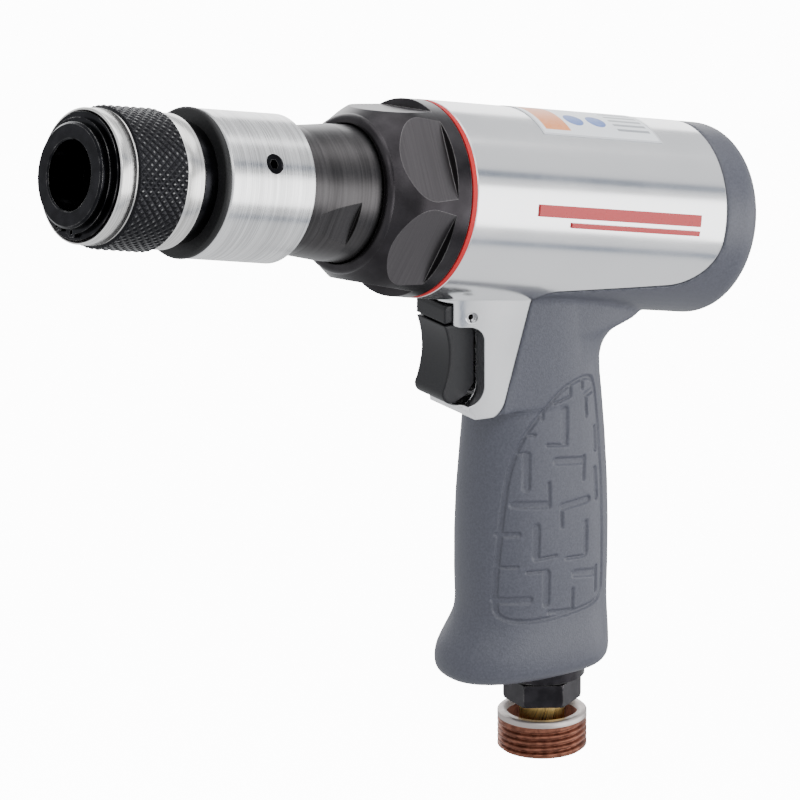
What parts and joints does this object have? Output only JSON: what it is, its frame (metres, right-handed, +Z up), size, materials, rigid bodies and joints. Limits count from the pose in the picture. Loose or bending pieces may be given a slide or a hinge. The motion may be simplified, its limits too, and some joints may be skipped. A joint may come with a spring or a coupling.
{
  "type": "pneumatic rivet gun",
  "caption": "Pistol-grip pneumatic rivet hammer with a knurled quick-change chuck, hexagonal front cap, polished aluminium housing, moulded grip and swivelling air inlet.",
  "frame": {"origin": "on the barrel's axis, where the chuck's guiding bore starts, just inside the muzzle", "axes": "+X along the barrel towards the rear, +Z up, -Y the tool's left side"},
  "size_m": [0.2234, 0.055, 0.1851],
  "materials": {
    "black_steel": "black oxide, glossy",
    "sleeve_steel": "fine turned, with a black diamond knurl",
    "collar_steel": "bright turned",
    "barrel_steel": "dark, ground all round",
    "cap_steel": "gunmetal, with milled flats",
    "spring_steel": "bright drawn wire",
    "ball_steel": "polished",
    "inner_steel": "ground",
    "gasket_red": "matte red fibre",
    "housing_aluminium": "polished",
    "overmould": "fine grained, satin",
    "trigger_black": "satin moulded",
    "seal_rubber": "matte black",
    "silencer_felt": "felt",
    "hex_steel": "black oxide",
    "brass": "turned",
    "coupling_steel": "brown thread, bare steel rim",
    "label": "printed film, plain blocks of colour",
    "stripe_red": "gloss red"
  },
  "bodies": {
    "tool": {"chuck_body": "black_steel", "chuck_snap_ring": "black_steel", "chuck_stop_washer": "black_steel", "chuck_spring": "spring_steel", "chuck_neck_ring": "black_steel", "bumper_ring": "seal_rubber", "coupling_collar": "collar_steel", "coupling_set_screw": "black_steel", "shank_bushing": "inner_steel", "barrel": "barrel_steel", "barrel_seal": "seal_rubber", "front_cap": "cap_steel", "cap_gasket": "gasket_red", "housing": "housing_aluminium", "grip_overmould": "overmould", "valve_block": "inner_steel", "valve_cover": "inner_steel", "valve_dowel": "inner_steel", "rear_bumper": "seal_rubber", "trigger_pin": "spring_steel", "throttle_bushing": "black_steel", "throttle_seat": "seal_rubber", "throttle_spring": "spring_steel", "silencer": "silencer_felt", "exhaust_collar": "hex_steel", "inlet_screen": "inner_steel", "inlet_bushing": "hex_steel", "inlet_seal": "seal_rubber", "hose_nipple": "brass", "coupling_clip": "spring_steel", "label_plate": "label", "side_stripe": "stripe_red"},
    "chuck_sleeve": {"chuck_sleeve": "sleeve_steel"},
    "chuck_ball_1": {"chuck_ball_1": "ball_steel"},
    "chuck_ball_2": {"chuck_ball_2": "ball_steel"},
    "chuck_ball_3": {"chuck_ball_3": "ball_steel"},
    "piston": {"piston": "inner_steel"},
    "valve_plate": {"valve_plate": "inner_steel"},
    "trigger": {"trigger": "trigger_black"},
    "throttle": {"throttle_pin": "inner_steel", "throttle_valve": "brass"},
    "hose_coupling": {"hose_coupling": "coupling_steel"}
  },
  "joints": [
    {"name": "sleeve_slide", "type": "slide", "parent": "tool", "child": "chuck_sleeve", "axis": [1, 0, 0], "range_m": [0, 0.0045], "stiffness_N_per_m": 3000, "springref_m": -0.003, "deforming": ["chuck_spring"]},
    {"name": "ball_1_slide", "type": "slide", "parent": "tool", "child": "chuck_ball_1", "axis": [0, -0.866, 0.5], "range_m": [0, 0.0016]},
    {"name": "ball_2_slide", "type": "slide", "parent": "tool", "child": "chuck_ball_2", "axis": [0, 0, -1], "range_m": [0, 0.0016]},
    {"name": "ball_3_slide", "type": "slide", "parent": "tool", "child": "chuck_ball_3", "axis": [0, 0.866, 0.5], "range_m": [0, 0.0016]},
    {"name": "piston_slide", "type": "slide", "parent": "tool", "child": "piston", "axis": [1, 0, 0], "range_m": [0, 0.067]},
    {"name": "valve_plate_slide", "type": "slide", "parent": "tool", "child": "valve_plate", "axis": [1, 0, 0], "range_m": [0, 0.0006]},
    {"name": "trigger_hinge", "type": "hinge", "parent": "tool", "child": "trigger", "pos_m": [0.13919, 0, -0.0303], "axis": [0, -1, 0], "range_deg": [0, 7], "stiffness_Nm_per_rad": 0.6, "springref_deg": -5.73, "deforming": ["throttle_spring"]},
    {"name": "throttle_slide", "type": "slide", "parent": "tool", "child": "throttle", "axis": [0.9681, 0, 0.2504], "range_m": [0, 0.0024]},
    {"name": "coupling_spin", "type": "hinge", "parent": "tool", "child": "hose_coupling", "pos_m": [0.20286, 0, -0.1491], "axis": [0.2504, 0, -0.9681], "continuous": true}
  ],
  "couplings": [
    {"joint": "ball_1_slide", "follows": "sleeve_slide", "ratio": 0.3555},
    {"joint": "ball_2_slide", "follows": "sleeve_slide", "ratio": 0.3555},
    {"joint": "ball_3_slide", "follows": "sleeve_slide", "ratio": 0.3555},
    {"joint": "throttle_slide", "follows": "trigger_hinge", "m_per_rad": 0.01895}
  ]
}
